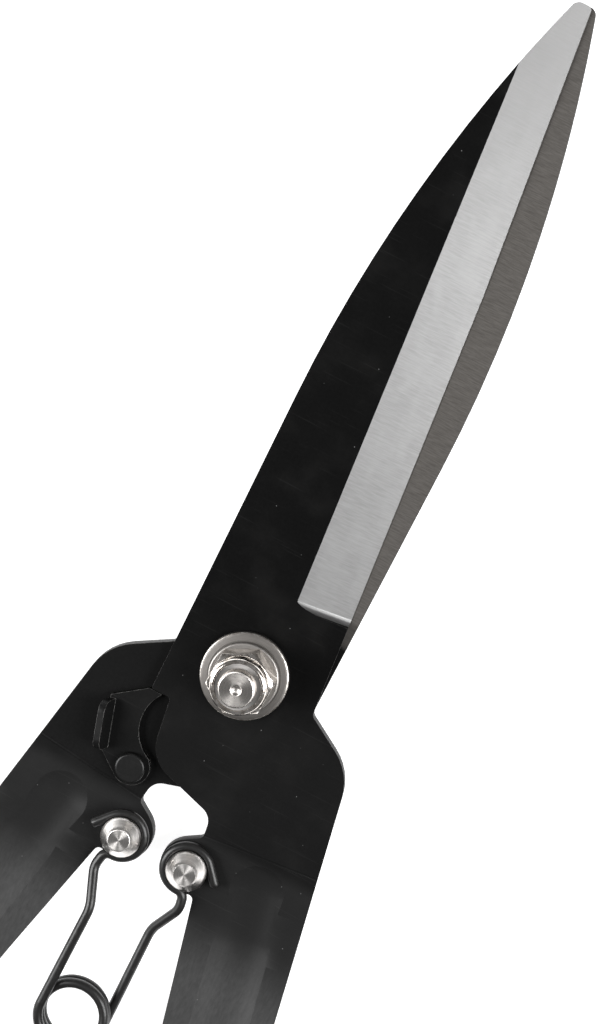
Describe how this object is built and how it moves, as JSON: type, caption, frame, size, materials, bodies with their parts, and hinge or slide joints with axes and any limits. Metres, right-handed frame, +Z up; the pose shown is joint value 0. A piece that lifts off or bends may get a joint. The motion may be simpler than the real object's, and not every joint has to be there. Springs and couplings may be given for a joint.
{
  "type": "grass shears",
  "caption": "One-hand grass shears with long tapered blades, a bolted pivot, a thumb lock lever, a hairpin spring and ribbed handles with sleeve grips.",
  "frame": {"origin": "centre of the bolt head's flat face, on the pivot axis; the shears lie on this face", "axes": "+Z up along the pivot axis from the bolt head to the nut, +Y along the closed blades to their tips, +X to the handle of the upper half"},
  "size_m": [0.0988, 0.3273, 0.0375],
  "materials": {
    "blade": "black oxide with a ground bright bevel",
    "black_steel": "semi-gloss black oxide",
    "bright_plate": "bright nickel plate",
    "satin_plate": "satin nickel plate",
    "lock_ring": "bright",
    "turned_steel": "turned and plated",
    "spring_wire": "black oiled wire",
    "grip": "black soft vinyl sleeve"
  },
  "bodies": {
    "lower_half": {"lower_blade": "blade", "pivot_bolt": "bright_plate", "pivot_nut": "bright_plate", "nut_insert": "lock_ring", "nut_washer": "bright_plate", "pivot_washer": "satin_plate", "lever_rivet": "black_steel", "lever_washer": "satin_plate", "lower_spring_post": "turned_steel", "lower_grip": "grip"},
    "upper_half": {"upper_blade": "blade", "upper_spring_post": "turned_steel", "upper_grip": "grip"},
    "lever": {"lock_lever": "black_steel"},
    "spring_leg_a": {"spring_arm_a": "spring_wire"},
    "spring_leg_b": {"spring_arm_b": "spring_wire"}
  },
  "joints": [
    {"name": "blade_opening", "type": "hinge", "parent": "lower_half", "child": "upper_half", "pos_m": [0, 0, 0.007], "axis": [0, 0, 1], "range_deg": [0, 25]},
    {"name": "lever_swing", "type": "hinge", "parent": "lower_half", "child": "lever", "pos_m": [-0.0132, -0.0304, 0.0074], "axis": [0, 0, 1], "range_deg": [0, 60]},
    {"name": "spring_leg_a_swing", "type": "hinge", "parent": "lower_half", "child": "spring_leg_a", "pos_m": [-0.00806, -0.0445, 0.01125], "axis": [0, 0, 1], "range_deg": [0, 28]},
    {"name": "spring_coil_wind", "type": "hinge", "parent": "spring_leg_a", "child": "spring_leg_b", "pos_m": [0, -0.0862, 0.01125], "axis": [0, 0, 1], "range_deg": [-30, 0]}
  ],
  "couplings": [
    {"joint": "lever_swing", "follows": "blade_opening", "ratio": 2.4},
    {"joint": "spring_leg_a_swing", "follows": "blade_opening", "ratio": 1.0353},
    {"joint": "spring_coil_wind", "follows": "blade_opening", "ratio": -1.0706}
  ]
}
